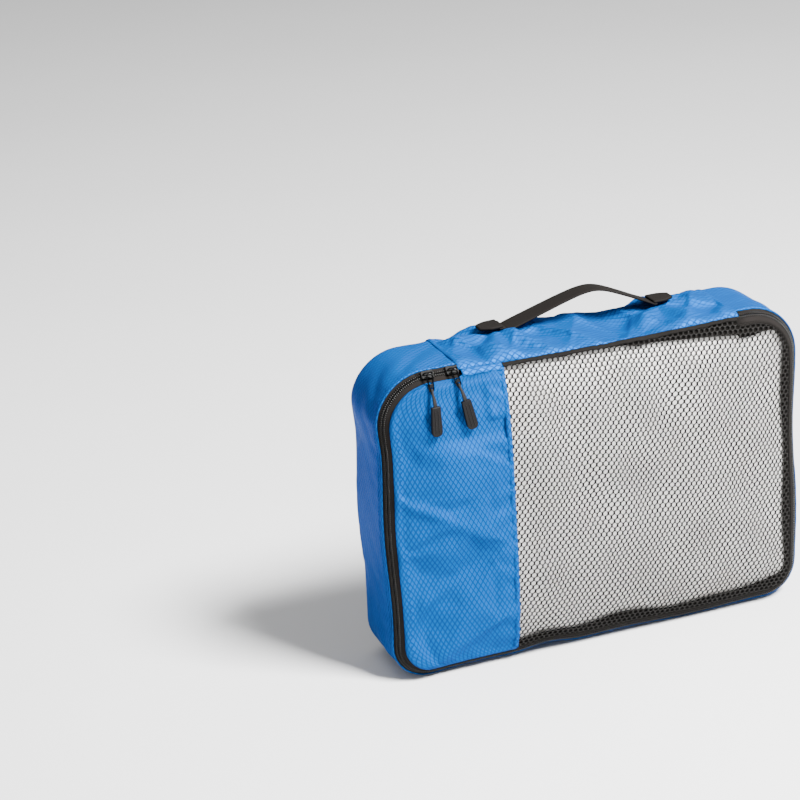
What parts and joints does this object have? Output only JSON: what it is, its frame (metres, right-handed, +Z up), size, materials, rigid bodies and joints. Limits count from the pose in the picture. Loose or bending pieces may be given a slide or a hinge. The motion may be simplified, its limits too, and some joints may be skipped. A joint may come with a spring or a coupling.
{
  "type": "packing cube",
  "caption": "Rectangular zipped fabric packing cube with a net window in its hinged lid, corded zip pulls and a webbing carrying handle.",
  "frame": {"origin": "middle of the box round the whole part, at the bottom, where it stands on its long side", "axes": "+Z up through the handle, -Y out of the lid's face, +X to the right of someone facing the lid"},
  "size_m": [0.35, 0.0872, 0.2747],
  "materials": {
    "ripstop": "glossy diamond ripstop",
    "mesh": "knitted net",
    "lining": "matt, creased",
    "tape": "woven herringbone",
    "coil": "satin nylon",
    "binding": "woven tape",
    "webbing": "ribbed webbing",
    "metal": "black enamel, satin",
    "cord": "braided",
    "rubber": "matt, moulded"
  },
  "bodies": {
    "tray": {"back_panel": "ripstop", "gusset_wall": "ripstop", "hinge_panel": "ripstop", "zip_tape_tray": "tape", "zip_coil_tray": "coil", "front_seam_binding": "binding", "back_seam_binding": "binding", "hinge_side_binding_left": "binding", "hinge_side_binding_right": "binding", "hinge_seam_bead": "binding", "handle_end_left": "webbing", "handle_end_right": "webbing"},
    "handle": {"handle_strap": "webbing"},
    "lid": {"lid_side_panel": "ripstop", "lid_mesh_panel": "mesh", "lid_panel_hem": "ripstop", "lid_edge_strip": "binding", "lid_side_binding": "binding", "lid_hinge_strip": "binding", "lid_lining": "lining", "zip_tape_lid": "tape", "zip_coil_lid": "coil", "zip_tape_closed_end": "tape", "zip_coil_closed_end": "coil"},
    "slider_left": {"slider_body_left": "metal", "slider_bail_left": "metal"},
    "link_left": {"pull_link_left": "metal"},
    "tab_left": {"pull_cord_left": "cord", "pull_tab_left": "rubber"},
    "slider_right": {"slider_body_right": "metal", "slider_bail_right": "metal"},
    "link_right": {"pull_link_right": "metal"},
    "tab_right": {"pull_cord_right": "cord", "pull_tab_right": "rubber"}
  },
  "joints": [
    {"name": "lid_hinge", "type": "hinge", "parent": "tray", "child": "lid", "pos_m": [0, -0.02966, 0.24726], "axis": [-1, 0, 0], "range_deg": [0, 180]},
    {"name": "handle_swing", "type": "hinge", "parent": "tray", "child": "handle", "pos_m": [0.008, 0.0205, 0.2512], "axis": [1, 0, 0], "range_deg": [-50, 50]},
    {"name": "slider_left_corner", "type": "hinge", "parent": "lid", "child": "slider_left", "pos_m": [-0.133, -0.02966, 0.208], "axis": [0, -1, 0], "range_deg": [0, 90]},
    {"name": "link_left_hang", "type": "hinge", "parent": "slider_left", "child": "link_left", "pos_m": [-0.133, -0.0357, 0.24726], "axis": [0, -1, 0], "range_deg": [-90, 0]},
    {"name": "tab_left_lift", "type": "hinge", "parent": "link_left", "child": "tab_left", "pos_m": [-0.133, -0.0357, 0.23641], "axis": [-1, 0, 0], "range_deg": [0, 50]},
    {"name": "slider_right_slide", "type": "slide", "parent": "lid", "child": "slider_right", "axis": [-1, 0, 0], "range_m": [0, 0.008]},
    {"name": "link_right_swing", "type": "hinge", "parent": "slider_right", "child": "link_right", "pos_m": [-0.1135, -0.0357, 0.24726], "axis": [0, -1, 0], "range_deg": [-20, 20]},
    {"name": "tab_right_lift", "type": "hinge", "parent": "link_right", "child": "tab_right", "pos_m": [-0.11124, -0.0357, 0.23664], "axis": [-0.9781, 0, -0.2079], "range_deg": [0, 50]}
  ],
  "couplings": [
    {"joint": "link_left_hang", "follows": "slider_left_corner", "ratio": -1}
  ]
}
